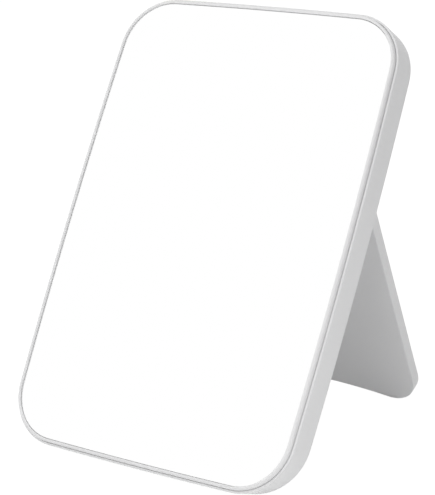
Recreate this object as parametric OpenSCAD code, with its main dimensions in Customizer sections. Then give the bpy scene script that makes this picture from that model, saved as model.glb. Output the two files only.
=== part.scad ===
// Free-standing mirror for a locker door: a two-part moulded frame, a recessed
// glass, magnets behind the back skin and a fold-out stand plate on a hinge.
// The pieces are drawn in the frame's own upright position, with x to the right,
// y to the back from the bezel's face and z up from the glass centre.
// They are then leaned back and stood on z = 0, with the stand open.
// The origin is the middle of the frame's rubber foot strip, on the table.

/* [Frame] */
// Width of the frame at its widest, half way up
frame_w = 140; // [120:1:170]
// Height of the frame on its centre line
frame_h = 203; // [199:1:230]
// Depth from the bezel's face to the back
frame_t = 16.1; // [15.8:0.1:18]
// How far the shell's lower end draws up from its front edge to its back
foot_rise = 2.1; // [1.5:0.1:2.4]
// Radius of the four corners of the frame
corner_r = 23.6; // [18:0.2:30]
// How far the long sides bow out
side_bow = 1.9; // [0.5:0.1:3]
// How far the short sides bow out
end_bow = 0.8; // [0.2:0.1:1.5]
// Wall of the rear shell
shell_wall = 2.2; // [2:0.1:2.8]
// Back skin of the rear shell
back_skin = 1.8; // [1.4:0.1:2.2]
// Rounding of the shell's back edge
back_edge_r = 1.6; // [0.8:0.1:2]
// Rounding of the shell's front edge
front_edge_r = 0.5; // [0.3:0.1:0.7]

/* [Bezel and glass] */
// How far the bezel stands forward of the shell's rim
bezel_proud = 2.2; // [1.4:0.1:2.6]
// Width of the shell's rim as seen from the front
rim_w = 0.9; // [0.8:0.1:1.2]
// Width of the shadow groove between the rim and the bezel
groove_w = 0.2; // [0.2:0.05:0.5]
// Depth of the shadow groove below the shell's rim
groove_deep = 0.6; // [0.4:0.1:1]
// Gap between the tray and the shell's rim behind the groove
tray_fit = 0.1; // [0.05:0.05:0.15]
// Width of the bezel's face
bezel_w = 1.3; // [1.2:0.1:2.5]
// Rounding of the bezel's outer front edge
bezel_edge_r = 1.1; // [0.4:0.1:1.1]
// How far the glass lies behind the bezel's face
glass_recess = 1; // [0.6:0.1:1.2]
// Thickness of the mirror glass
glass_t = 2; // [1.8:0.1:2.2]
// Gap around the glass
glass_gap = 0.15; // [0.1:0.05:0.3]
// Thickness of the foam tape under the glass
tape_t = 0.8; // [0.6:0.1:1]
// Height of each strip of foam tape
tape_h = 18; // [10:1:24]
// Distance of the tape's ends from the frame's widest line
tape_in = 15.4; // [12:0.2:24]
// Distance of the outer strips of tape from the glass's ends
tape_margin = 10.7; // [6:0.1:16]
// Floor of the bezel's tray
tray_floor = 1.4; // [1.2:0.1:1.6]

/* [Stand] */
// Lean of the frame from upright, in degrees
lean = 29.6; // [20:0.1:34]
// Distance of the stand's sides from the frame's widest line
stand_in = 13.6; // [13.4:0.2:20]
// Length of the stand from the hinge to its foot
stand_len = 139.8; // [130:0.1:147]
// Height of the folded stand's foot above the frame's lower end
stand_foot_up = 5.7; // [5.3:0.1:8]
// Thickness of the stand plate
stand_t = 6.2; // [5.6:0.1:6.4]
// Radius of the stand's two foot corners
stand_corner_r = 13.6; // [8:0.2:18]
// Height of the shallow arch between the stand's two feet
foot_arch = 3.6; // [1:0.1:4]
// Rounding of the stand's edges
stand_edge_r = 1.2; // [0.6:0.1:1.6]
// How far the folded stand lies below the frame's back
stand_sunk = 0.2; // [0:0.1:0.4]
// Gap between the folded stand and the recess floor
floor_gap = 0.4; // [0.3:0.1:0.6]
// Gap between the stand's sides and the recess walls
side_gap = 0.6; // [0.5:0.1:0.8]
// Skin of the stand plate and of the recess floor
stand_skin = 1.6; // [1.2:0.1:1.7]
// Thickness of the stand's rear cover
cover_t = 1.4; // [1.2:0.1:1.5]
// Width of the stand's edge around its cover
cover_edge = 3; // [2.5:0.5:5]
// Distance of the cover's top edge below the hinge
cover_down = 8; // [6:0.5:14]
// Width of the ledge that carries the cover
ledge_w = 2; // [1.5:0.1:2.5]
// Length of the stop heel above the hinge
heel_len = 6; // [5:0.1:6.4]
// Half of the stop heel's width
heel_half_w = 25; // [10:1:35]
// Radius of the finger scoops beside the stand
scoop_r = 8.5; // [7:0.5:9]
// Height of the finger scoops above the folded stand's foot
scoop_up = 63.3; // [50:0.1:75]

/* [Hinge] */
// Radius of the hinge pins
pin_r = 1.25; // [1:0.05:1.4]
// Length of the pin in the stand's barrel
pin_in_stand = 9; // [6:0.5:12]
// Length of the pin in the shell
pin_in_shell = 6.8; // [5:0.2:7]
// Running clearance of the pin in the stand
pin_run = 0.05; // [0.03:0.01:0.08]
// Clearance of the pin in the shell
pin_fit = 0.02; // [0.01:0.01:0.03]
// Outer radius of the friction washers
washer_r = 2.6; // [2.2:0.1:2.7]
// Gap on each side of the friction washers
washer_slack = 0.05; // [0.03:0.01:0.1]
// Gap at each end of the hinge pins
pin_end_gap = 0.2; // [0.1:0.1:0.5]

/* [Magnets] */
// Radius of the two upper magnets
upper_magnet_r = 9; // [7:0.5:10]
// Thickness of the two upper magnets
upper_magnet_t = 3; // [2:0.1:3.2]
// Distance of the upper magnets from the centre line
upper_magnet_x = 33; // [28:1:36]
// Radius of the two magnets in the stand
stand_magnet_r = 7.5; // [5:0.5:8]
// Thickness of the two magnets in the stand
stand_magnet_t = 2.5; // [1.5:0.1:2.7]
// Distance of the stand's magnets from its sides
stand_magnet_in = 20; // [18:1:30]
// Distance of the stand's magnets from its foot
stand_magnet_up = 20; // [16:1:30]
// Radial gap around each magnet
magnet_gap = 0.15; // [0.1:0.05:0.3]
// Wall of each magnet's pocket
pocket_wall = 1.5; // [1:0.1:1.6]
// Thickness of the steel discs on the upper magnets
upper_keeper_t = 0.6; // [0.4:0.1:0.8]
// Thickness of the caps' flanges
cap_flange_t = 0.8; // [0.6:0.1:1.2]
// Length of the caps' plugs in their pockets
cap_plug_t = 0.6; // [0.4:0.1:1]

/* [Screws] */
// Radius of the shell screws' thread
screw_r = 1.2; // [1:0.1:1.3]
// Radius of the shell screws' heads
screw_head_r = 2.6; // [2.2:0.1:2.7]
// Height of the shell screws' heads
screw_head_h = 1.7; // [1.2:0.1:2]
// Depth of the heads' seats below the back
screw_seat = 3.4; // [2.8:0.1:3.8]
// Radius of the stand screws' thread
small_screw_r = 0.95; // [0.8:0.05:1]
// Radius of the stand screws' heads
small_head_r = 2; // [1.6:0.1:2.1]
// Height of the stand screws' heads
small_head_h = 0.8; // [0.6:0.1:0.9]
// Clearance around each screw's head and shank
screw_gap = 0.3; // [0.2:0.05:0.4]
// Clearance of each thread in its pilot hole
thread_fit = 0.05; // [0.02:0.01:0.08]
// Gap under each screw's tip
tip_gap = 0.3; // [0.2:0.1:0.5]
// Width of the slots in the shell screws' heads
slot_w = 0.6; // [0.4:0.1:0.8]
// Width of the slots in the stand screws' heads
small_slot_w = 0.5; // [0.3:0.1:0.6]
// Height of the lower side screws above the frame's lower end
low_screw_up = 32; // [26:1:40]
// Height of the middle side screws above the frame's lower end
mid_screw_up = 112; // [105:1:120]
// Distance of the corner screws' bosses from the shell's wall
corner_screw_in = 1; // [0.5:0.1:4]
// Distance of the cover's upper screws below its top edge
cover_screw_down = 8; // [6:0.5:12]
// Height of the cover's lower screws above the stand's foot
cover_screw_up = 48; // [40:1:60]

/* [Rubber feet] */
// Half of the length of the frame's rubber foot strip
strip_half_len = 38; // [20:1:40]
// Width of the frame's foot strip
strip_w = 4.5; // [3:0.1:6]
// Depth of the frame's strip in its rebate
strip_in = 1.3; // [1:0.1:1.5]
// How far the frame's strip stands out below the shell
strip_out = 0.15; // [0.1:0.05:0.5]
// Length of each rubber pad in the stand's feet
pad_len = 9.4; // [6:0.2:11]
// Width of the stand's pads
pad_w = 4.4; // [3:0.1:5]
// Depth of the stand's pads in their rebates
pad_in = 2.2; // [1.8:0.1:2.6]
// How far the stand's pads stand out below its feet
pad_out = 0.3; // [0.25:0.05:0.6]
// Gap between the folded stand's pads and the end of the recess
pad_clear = 0.2; // [0.2:0.05:0.4]
// Height taken off the frame's strip where it meets the table
strip_flat = 0.42; // [0.3:0.02:0.5]
// Height taken off the stand's pads where they meet the table
pad_flat = 0.2; // [0.1:0.05:0.2]
// Gap around the rubber in its rebates
rubber_gap = 0.1; // [0.05:0.05:0.2]

/* [Hidden] */

// Overlap of cutting shapes past the faces that they open
cut = 1;
// Depth by which a shape sinks into the one that it grows from
weld = 0.2;
// Steps on each bowed side, corner, edge, small corner and arch of an outline
side_steps = 5;
corner_steps = 9;
edge_steps = 3;
top_steps = 3;
arch_steps = 12;
round_fn = 48;

half_w = frame_w / 2;
half_h = frame_h / 2;

// Depths of the layers behind the bezel's face
glass_y = glass_recess;
tape_y = glass_y + glass_t;
tray_y = tape_y + tape_t;
ledge_y = tray_y + tray_floor;
back_in_y = frame_t - back_skin;

// Insets of the layers from the frame's outline
bezel_out = rim_w + groove_w;
bezel_in = bezel_out + bezel_w;
tray_out = rim_w + tray_fit;
tray_step_y = bezel_proud + groove_deep;

// Depth at which the shell's lower end starts to draw up
rise_y = bezel_proud + front_edge_r;

// The recess in the back and the hinge in its top end
stand_half_w = half_w - stand_in;
stand_foot_z = stand_foot_up - half_h;
hinge_z = stand_foot_z + stand_len;
hinge_y = frame_t - stand_sunk - stand_t / 2;
barrel_r = stand_t / 2;
recess_y = hinge_y - barrel_r - floor_gap;
recess_floor_y = recess_y - stand_skin;
recess_half_w = stand_half_w + side_gap;
recess_low_z = stand_foot_z - pad_out - pad_clear;
recess_top_z = hinge_z + barrel_r + side_gap;
recess_wall = 1.6;
recess_top_r = 1;
scoop_z = stand_foot_z + scoop_up;
pin_block_h = 8;
pin_block_end = 1;

// The stop: the heel's tip meets the pocket floor when the stand is open
heel_off = 0.4;
stop_gap = 0.03;
heel_reach = norm([barrel_r, heel_len]);
hinge_height = hinge_z * cos(lean) - hinge_y * sin(lean);
strip_tip_z = foot_rise - half_h - strip_out;
strip_tip_drop = frame_t * sin(lean) - strip_tip_z * cos(lean);
base_z = strip_tip_drop - strip_flat;
pad_r = stand_edge_r + pad_out;
pad_drop = hinge_height + base_z + pad_flat - pad_r;
pad_c_len = stand_len - stand_edge_r;
pad_c_off = barrel_r - stand_edge_r;
stand_tilt = acos(pad_drop / norm([pad_c_len, pad_c_off])) + atan(pad_c_off / pad_c_len);
open_angle = lean + stand_tilt;
stop_y = hinge_y + heel_off * cos(open_angle) - heel_len * sin(open_angle) - stop_gap;
pocket_skin = 1.4;
pocket_top_z = hinge_z + heel_reach + floor_gap;

// The frame's place on the table, with the middle of the strip's flat at y = 0
rise_angle = atan(foot_rise / (frame_t - rise_y));
strip_tip_y = frame_t * cos(lean) + strip_tip_z * sin(lean);
base_y = -strip_tip_y - strip_flat * (tan(lean) - 1 / tan(lean - rise_angle)) / 2;

// The layers of the stand plate, drawn folded
stand_front_y = hinge_y - barrel_r;
stand_back_y = hinge_y + barrel_r;
stand_cavity_y = stand_front_y + stand_skin;
cover_y = stand_back_y - cover_t;
cover_top_z = hinge_z - cover_down;
cover_gap = 0.15;
stand_top_r = 2;
stand_rib_x = 16.8;

// Screws, their bosses and their heads' seats
boss_wall = 0.7;
thread_wall = 2;
small_thread_wall = 1.65;
boss_r = screw_head_r + screw_gap + boss_wall;
bezel_boss_r = screw_r + thread_wall;
small_boss_r = small_screw_r + small_thread_wall;
boss_meet_y = 8.5;
pilot_floor = 0.4;
screw_tip_y = ledge_y + pilot_floor + tip_gap;
seat_y = frame_t - screw_seat;
small_head_sunk = 0.2;
small_seat_y = stand_back_y - small_head_h - small_head_sunk;

// Magnets, their keepers and their pockets
upper_magnet_y = back_in_y - upper_magnet_t;
upper_keeper_y = upper_magnet_y - upper_keeper_t;
upper_pocket_y = upper_keeper_y - cap_plug_t;
stand_magnet_y = cover_y - stand_magnet_t;
stand_magnet_x = stand_half_w - stand_magnet_in;
stand_magnet_z = stand_foot_z + stand_magnet_up;
upper_magnet_z = (pocket_top_z + half_h - shell_wall) / 2;
rib_t = 1.2;
rib_rows = 2;
rib_pitch = (recess_top_z - recess_low_z) / (rib_rows + 1);
tape_rows = 4;
tape_end_z = half_h - bezel_in - glass_gap - tape_margin - tape_h / 2;

// The stand's rubber pads reach a little way into the turn of its foot corners
pad_turn = 3;
pad_x = stand_half_w - stand_corner_r + pad_turn;

// Points on an arc about c, from angle a0 to angle a1
function arc(c, r, a0, a1, steps) =
    [for (i = [0:steps]) let (a = a0 + (a1 - a0) * i / steps) c + r * [cos(a), sin(a)]];

// Radius of a side of half length h that bows out by b
function bow_radius(h, b) = (h * h + b * b) / (2 * b);

// Centre of the corner circle that touches the two bowed sides from inside
function corner_centre(r1, r2, c1, c2) =
    let (
        d = c2 - c1,
        len_d = norm(d),
        along = (len_d * len_d + r1 * r1 - r2 * r2) / (2 * len_d),
        across = sqrt(r1 * r1 - along * along),
        u = d / len_d
    )
    c1 + u * along + [-u[1], u[0]] * across;

// The frame's bowed sides and ends, and the centre of its upper right corner
side_r = bow_radius(half_h, side_bow);
end_r = bow_radius(half_w, end_bow);
corner_c = corner_centre(
    side_r - corner_r, end_r - corner_r, [half_w - side_r, 0], [0, half_h - end_r]
);

// How far the shell's lower end has drawn up at depth y
function rise_at(y) = foot_rise * max(0, y - rise_y) / (frame_t - rise_y);

// Height of the shell's lower side at depth y
function low_z(y) = rise_at(y) - half_h;

// One quarter of the frame's outline, drawn in by e
function frame_quarter(e) =
    let (
        rs = side_r,
        re = end_r,
        cs = [half_w - rs, 0],
        ce = [0, half_h - re],
        cc = corner_c,
        a1 = atan2(cc[1] - cs[1], cc[0] - cs[0]),
        a2 = atan2(cc[1] - ce[1], cc[0] - ce[0]),
        side = arc(cs, rs - e, 0, a1, side_steps),
        corner = arc(cc, corner_r - e, a1, a2, corner_steps),
        end = arc(ce, re - e, a2, 90, side_steps)
    )
    concat([for (i = [0:side_steps - 1]) side[i]], corner, [for (i = [1:side_steps]) end[i]]);

// The whole outline of the frame, drawn in by e
function frame_outline(e) =
    let (q = frame_quarter(e), n = len(q))
    concat(
        q,
        [for (i = [n - 2:-1:0]) [-q[i][0], q[i][1]]],
        [for (i = [1:n - 1]) -q[i]],
        [for (i = [n - 2:-1:1]) [q[i][0], -q[i][1]]]
    );

// The shell's outline at depth y, drawn in by e: its lower half shortens towards the back
function shell_outline(e, y) =
    let (share = 1 - rise_at(y) / half_h)
    [for (p = frame_outline(e)) [p[0], p[1] < 0 ? p[1] * share : p[1]]];

// A plate's outline between z0 and z1, with foot radius rf and top radius rt, drawn in by e,
// with its lower edge arched up between the feet
function plate_outline(w, z0, z1, rf, rt, e = 0, arch = 0) =
    concat(
        arc([w - rf, z0 + rf], rf - e, -90, 0, corner_steps),
        arc([w - rt, z1 - rt], rt - e, 0, 90, top_steps),
        arc([rt - w, z1 - rt], rt - e, 90, 180, top_steps),
        arc([rf - w, z0 + rf], rf - e, 180, 270, corner_steps),
        [
            for (i = [1:arch_steps - 1])
                let (t = 2 * i / arch_steps - 1) [t * (w - rf), z0 + e + arch * (1 - t * t)]
        ]
    );

function stand_outline(e) =
    plate_outline(
        stand_half_w, stand_foot_z, hinge_z, stand_corner_r, stand_top_r, e, foot_arch
    );

// Inset and depth of a quarter-round edge of radius r, from the face inwards
function edge_rings(r, y_face, dir) =
    [
        for (i = [0:edge_steps])
            let (a = 90 * i / edge_steps) [r * (1 - sin(a)), y_face + dir * r * (1 - cos(a))]
    ];

// The shell's wall at height z on the right side, seen from inside
function wall_in(z) = half_w - side_bow * pow(z / half_h, 2) - shell_wall;

// A side screw stands half way between the recess and the shell's wall
function side_screw(z) = [(recess_half_w + recess_wall + wall_in(z)) / 2, z];

// The shell's screws on the right side: one in the corner and two along the side
corner_screw_r = corner_r - shell_wall - boss_r - corner_screw_in;
screw_spots = [
    corner_c + corner_screw_r * [cos(45), sin(45)],
    side_screw(mid_screw_up - half_h),
    side_screw(low_screw_up - half_h)
];

// The cover's screws on the right side
small_boss_gap = 1;
small_screw_x = stand_half_w - cover_edge - ledge_w - small_boss_r - small_boss_gap;
small_spots = [
    [small_screw_x, cover_top_z - cover_screw_down],
    [small_screw_x, stand_foot_z + cover_screw_up]
];

function reversed(list) = [for (i = [len(list) - 1:-1:0]) list[i]];

// A solid through equal outlines, each at its depth, the first one in front
module loft(outlines, depths) {
    n = len(outlines[0]);
    last = len(outlines) - 1;
    points = [for (k = [0:last]) for (p = outlines[k]) [p[0], depths[k], p[1]]];
    sides = [
        for (k = [0:last - 1]) for (i = [0:n - 1])
            let (j = (i + 1) % n, a = k * n, b = (k + 1) * n)
            each [[a + i, a + j, b + j], [a + i, b + j, b + i]]
    ];
    front = [for (i = [n - 1:-1:0]) i];
    back = [for (i = [0:n - 1]) last * n + i];
    polyhedron(points, concat([front], sides, [back]));
}

// A straight slab of an outline, from depth y0 to depth y1
module slab(points, y0, y1) {
    translate([0, y1, 0]) rotate([90, 0, 0]) linear_extrude(y1 - y0) polygon(points);
}

// A round bar along y
module post(x, z, y0, y1, r) {
    translate([x, y1, z]) rotate([90, 0, 0]) cylinder(h = y1 - y0, r = r, $fn = round_fn);
}

// A round bar along x
module shaft(x0, x1, y, z, r) {
    translate([x0, y, z]) rotate([0, 90, 0]) cylinder(h = x1 - x0, r = r, $fn = round_fn);
}

// A box from its lowest to its highest corner
module block(low, high) {
    translate(low) cube(high - low);
}

module both_sides() {
    children();
    mirror([1, 0, 0]) children();
}

// Puts the frame's pieces on the table, leaned back
module leaned() {
    translate([0, base_y, base_z]) rotate([-lean, 0, 0]) children();
}

// Puts the stand's pieces on the table, opened to the stop
module opened() {
    leaned()
        translate([0, hinge_y, hinge_z])
            rotate([open_angle, 0, 0])
                translate([0, -hinge_y, -hinge_z])
                    children();
}

// The tray that holds the glass: the front rim steps out behind the groove to fit the shell
module front_bezel() {
    rings = [for (k = edge_rings(bezel_edge_r, 0, 1)) [bezel_out + k[0], k[1]]];
    rim = concat(rings, [[bezel_out, tray_step_y]]);
    step = [tray_step_y, ledge_y];
    color("white") leaned() difference() {
        union() {
            loft(
                concat(
                    [for (k = rim) frame_outline(k[0])], [for (y = step) shell_outline(tray_out, y)]
                ),
                concat([for (k = rim) k[1]], step)
            );
            both_sides() for (s = screw_spots) {
                post(s[0], s[1], ledge_y - weld, boss_meet_y, bezel_boss_r);
            }
        }
        slab(frame_outline(bezel_in), -cut, tray_y);
        both_sides() for (s = screw_spots) {
            post(s[0], s[1], ledge_y + pilot_floor, boss_meet_y + cut, screw_r + thread_fit);
        }
    }
}

module mirror_glass() {
    color("gainsboro") leaned() slab(frame_outline(bezel_in + glass_gap), glass_y, tape_y);
}

// Four strips of foam tape between the glass and the tray
module foam_tape_strips() {
    reach = half_w - tape_in;
    color("darkslategray") leaned() for (i = [0:tape_rows - 1]) {
        mid = tape_end_z * (2 * i / (tape_rows - 1) - 1);
        block([-reach, tape_y, mid - tape_h / 2], [reach, tray_y, mid + tape_h / 2]);
    }
}

// Outer form of the rear shell, with its rounded front and back edges
module shell_form() {
    rings = concat(
        edge_rings(front_edge_r, bezel_proud, 1),
        reversed(edge_rings(back_edge_r, frame_t, -1))
    );
    loft([for (k = rings) shell_outline(k[0], k[1])], [for (k = rings) k[1]]);
}

// What lies inside a wall of thickness w between depths y0 and y1
module shell_room(w, y0, y1) {
    depths = y0 < rise_y ? [y0, rise_y, y1] : [y0, y1];
    loft([for (y = depths) shell_outline(w, y)], depths);
}

module recess_shape(grow, y0, y1) {
    slab(
        plate_outline(
            recess_half_w + grow, recess_low_z - grow, recess_top_z + grow,
            stand_corner_r + side_gap + grow, recess_top_r + grow
        ),
        y0, y1
    );
}

module stop_pocket(grow, y0, y1) {
    block(
        [-heel_half_w - side_gap - grow, y0, hinge_z - barrel_r - grow],
        [heel_half_w + side_gap + grow, y1, pocket_top_z + grow]
    );
}

// What stands inside the rear shell: recess walls, bosses, magnet pockets and ribs
module shell_inside() {
    intersection() {
        shell_room(shell_wall / 2, ledge_y, frame_t - back_skin / 2);
        union() {
            recess_shape(recess_wall, recess_floor_y, frame_t);
            stop_pocket(recess_wall, stop_y - pocket_skin, frame_t);
            both_sides() {
                for (s = screw_spots) post(s[0], s[1], boss_meet_y, frame_t, boss_r);
                post(
                    upper_magnet_x, upper_magnet_z, upper_pocket_y, frame_t,
                    upper_magnet_r + magnet_gap + pocket_wall
                );
                post(recess_half_w, scoop_z, recess_floor_y, frame_t, scoop_r + recess_wall);
                block(
                    [recess_half_w, recess_floor_y, hinge_z - pin_block_h / 2],
                    [recess_half_w + pin_in_shell + pin_block_end, frame_t, hinge_z + pin_block_h / 2]
                );
                block(
                    [recess_half_w / 2, ledge_y, recess_low_z],
                    [recess_half_w / 2 + rib_t, recess_floor_y + weld, recess_top_z]
                );
            }
            for (i = [1:rib_rows]) {
                z = recess_low_z + i * rib_pitch;
                block(
                    [-recess_half_w, ledge_y, z - rib_t / 2],
                    [recess_half_w, recess_floor_y + weld, z + rib_t / 2]
                );
            }
            block([-rib_t / 2, ledge_y, pocket_top_z], [rib_t / 2, frame_t, half_h]);
        }
    }
}

// The deep rear moulding
module rear_shell() {
    color("whitesmoke") leaned() difference() {
        union() {
            difference() {
                shell_form();
                shell_room(rim_w, bezel_proud - cut, ledge_y);
                shell_room(shell_wall, ledge_y - cut / 2, back_in_y);
            }
            shell_inside();
        }
        recess_shape(0, recess_y, frame_t + cut);
        stop_pocket(0, stop_y, frame_t + cut);
        both_sides() {
            for (s = screw_spots) {
                post(s[0], s[1], boss_meet_y - cut, frame_t, screw_r + screw_gap);
                post(s[0], s[1], seat_y, frame_t + cut, screw_head_r + screw_gap);
            }
            post(
                upper_magnet_x, upper_magnet_z, upper_pocket_y - cut, back_in_y,
                upper_magnet_r + magnet_gap
            );
            post(recess_half_w, scoop_z, recess_y, frame_t + cut, scoop_r);
            shaft(
                recess_half_w - cut, recess_half_w + pin_in_shell, hinge_y, hinge_z,
                pin_r + pin_fit
            );
        }
        strip_bar(strip_half_len, frame_t - strip_w, frame_t + cut, cut);
    }
}

// A bar along the shell's lower side, from depth y0 to depth y1, that reaches below it by out
module strip_bar(x, y0, y1, out) {
    section = [
        [y0, low_z(y0) - out], [y1, low_z(y1) - out],
        [y1, low_z(y1) + strip_in], [y0, low_z(y0) + strip_in]
    ];
    translate([-x, 0, 0]) rotate([90, 0, 90]) linear_extrude(2 * x) polygon(section);
}

// Six screws from the back through the shell into the bezel's bosses
module shell_screws() {
    color("silver") leaned() both_sides() for (s = screw_spots) difference() {
        union() {
            post(s[0], s[1], seat_y, seat_y + screw_head_h, screw_head_r);
            post(s[0], s[1], screw_tip_y, seat_y + weld, screw_r);
        }
        cross_slot(s, seat_y + screw_head_h, screw_head_r, screw_head_h, slot_w);
    }
}

// Cross slot in a head of radius r and height h whose top lies at depth y
module cross_slot(spot, y, r, h, w) {
    slot_share = 1.2;
    for (turn = [0, 90]) {
        translate([spot[0], y, spot[1]]) rotate([0, turn, 0])
            cube([r * slot_share, h, w], center = true);
    }
}

module upper_magnet(side) {
    color("dimgray") leaned()
        post(side * upper_magnet_x, upper_magnet_z, upper_magnet_y, back_in_y, upper_magnet_r);
}

module upper_keeper(side) {
    color("silver") leaned()
        post(side * upper_magnet_x, upper_magnet_z, upper_keeper_y, upper_magnet_y, upper_magnet_r);
}

// Push-in cap that closes an upper magnet's pocket
module magnet_cap(side) {
    x = side * upper_magnet_x;
    color("white") leaned() {
        post(
            x, upper_magnet_z, upper_pocket_y - cap_flange_t, upper_pocket_y,
            upper_magnet_r + magnet_gap + pocket_wall
        );
        post(x, upper_magnet_z, upper_pocket_y - weld, upper_keeper_y, upper_magnet_r);
    }
}

module hinge_pin(side) {
    x0 = stand_half_w - pin_in_stand;
    x1 = recess_half_w + pin_in_shell - pin_end_gap;
    color("silver") leaned() mirror([side < 0 ? 1 : 0, 0, 0])
        shaft(x0, x1, hinge_y, hinge_z, pin_r);
}

module friction_washer(side) {
    color("ivory") leaned() mirror([side < 0 ? 1 : 0, 0, 0]) difference() {
        shaft(
            stand_half_w + washer_slack, recess_half_w - washer_slack, hinge_y, hinge_z, washer_r
        );
        shaft(stand_half_w - cut, recess_half_w + cut, hinge_y, hinge_z, pin_r + pin_run);
    }
}

// Keeps what lies above the table
module above_table() {
    difference() {
        children();
        block([-frame_w, -frame_h, -frame_h], [frame_w, frame_h, 0]);
    }
}

// Rubber strip in the shell's lower back edge
module frame_foot_strip() {
    color("lightgray") above_table() leaned()
        strip_bar(
            strip_half_len - rubber_gap, frame_t - strip_w + rubber_gap, frame_t, strip_out
        );
}

// The stand's plate: inner face, edges, hinge barrel and stop heel
module stand_panel() {
    rings = concat(
        edge_rings(stand_edge_r, stand_front_y, 1),
        reversed(edge_rings(stand_edge_r, stand_back_y, -1))
    );
    color("whitesmoke") opened() difference() {
        union() {
            difference() {
                loft([for (k = rings) stand_outline(k[0])], [for (k = rings) k[1]]);
                stand_plate(cover_edge - cover_gap, cover_y, stand_back_y + cut);
                stand_plate(cover_edge + ledge_w, stand_cavity_y, stand_back_y + cut);
            }
            shaft(-stand_half_w, stand_half_w, hinge_y, hinge_z, barrel_r);
            block(
                [-heel_half_w, hinge_y + heel_off, hinge_z],
                [heel_half_w, stand_back_y, hinge_z + heel_len]
            );
            both_sides() {
                for (s = small_spots) {
                    post(s[0], s[1], stand_cavity_y - weld, cover_y, small_boss_r);
                }
                post(
                    stand_magnet_x, stand_magnet_z, stand_cavity_y - weld, cover_y,
                    stand_magnet_r + magnet_gap + pocket_wall
                );
                block(
                    [stand_rib_x, stand_cavity_y - weld, stand_foot_z + cover_edge + ledge_w / 2],
                    [stand_rib_x + rib_t, cover_y, cover_top_z - ledge_w / 2]
                );
            }
        }
        both_sides() {
            for (s = small_spots) {
                post(s[0], s[1], stand_cavity_y, cover_y + cut, small_screw_r + thread_fit);
            }
            post(
                stand_magnet_x, stand_magnet_z, stand_cavity_y, cover_y + cut,
                stand_magnet_r + magnet_gap
            );
            shaft(
                stand_half_w - pin_in_stand - pin_end_gap, stand_half_w + cut, hinge_y, hinge_z,
                pin_r + pin_run
            );
        }
        both_sides() block(
            [pad_x - pad_len, stand_front_y - cut, stand_foot_z - cut],
            [pad_x, stand_front_y + pad_w, stand_foot_z + pad_in]
        );
    }
}

// The stand's outline drawn in by e, below the cover's top edge
module stand_plate(e, y0, y1) {
    slab(
        plate_outline(
            stand_half_w - e, stand_foot_z + e, cover_top_z - e + cover_edge,
            stand_corner_r - e, stand_top_r, 0, foot_arch
        ),
        y0, y1
    );
}

module stand_cover() {
    color("whitesmoke") opened() difference() {
        stand_plate(cover_edge, cover_y, stand_back_y);
        both_sides() for (s = small_spots) {
            post(s[0], s[1], cover_y - cut, stand_back_y + cut, small_screw_r + screw_gap / 2);
            post(s[0], s[1], small_seat_y, stand_back_y + cut, small_head_r + screw_gap / 2);
        }
    }
}

module stand_screws() {
    color("silver") opened() both_sides() for (s = small_spots) difference() {
        union() {
            post(s[0], s[1], small_seat_y, small_seat_y + small_head_h, small_head_r);
            post(s[0], s[1], stand_cavity_y + tip_gap, small_seat_y + weld, small_screw_r);
        }
        cross_slot(s, small_seat_y + small_head_h, small_head_r, small_head_h, small_slot_w);
    }
}

module stand_magnet(side) {
    color("dimgray") opened()
        post(side * stand_magnet_x, stand_magnet_z, stand_magnet_y, cover_y, stand_magnet_r);
}

module stand_keeper(side) {
    color("silver") opened()
        post(side * stand_magnet_x, stand_magnet_z, stand_cavity_y, stand_magnet_y, stand_magnet_r);
}

// Two rubber pads in the inner corners of the stand's feet, which follow the feet's outline
module stand_foot_pads() {
    rings = concat(
        edge_rings(pad_r, stand_front_y - pad_out, 1), [[0, stand_back_y]]
    );
    color("lightgray") above_table() opened() both_sides() intersection() {
        loft([for (k = rings) stand_outline(k[0] - pad_out)], [for (k = rings) k[1]]);
        block(
            [pad_x - pad_len + rubber_gap, stand_front_y, stand_foot_z - cut],
            [pad_x - rubber_gap, stand_front_y + pad_w - rubber_gap, stand_foot_z + pad_in]
        );
    }
}

front_bezel();
mirror_glass();
foam_tape_strips();
rear_shell();
shell_screws();
upper_magnet(-1);  // upper_magnet_left
upper_magnet(1);  // upper_magnet_right
upper_keeper(-1);  // upper_keeper_left
upper_keeper(1);  // upper_keeper_right
magnet_cap(-1);  // magnet_cap_left
magnet_cap(1);  // magnet_cap_right
hinge_pin(-1);  // hinge_pin_left
hinge_pin(1);  // hinge_pin_right
friction_washer(-1);  // friction_washer_left
friction_washer(1);  // friction_washer_right
frame_foot_strip();
stand_panel();
stand_cover();
stand_screws();
stand_magnet(-1);  // stand_magnet_left
stand_magnet(1);  // stand_magnet_right
stand_keeper(-1);  // stand_keeper_left
stand_keeper(1);  // stand_keeper_right
stand_foot_pads();
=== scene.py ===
"""The locker mirror as it is seen: smooth mouldings, a polished mirror and a pale studio.

Every piece is drawn upright and in millimetres, with x to the right, y to the back from the
bezel's face and z up from the glass centre. It is then set down on the table: leaned back,
or, for the stand's pieces, opened about the hinge and leaned back.
"""

import math

import bpy
from mathutils import Matrix, Quaternion, Vector


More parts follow.
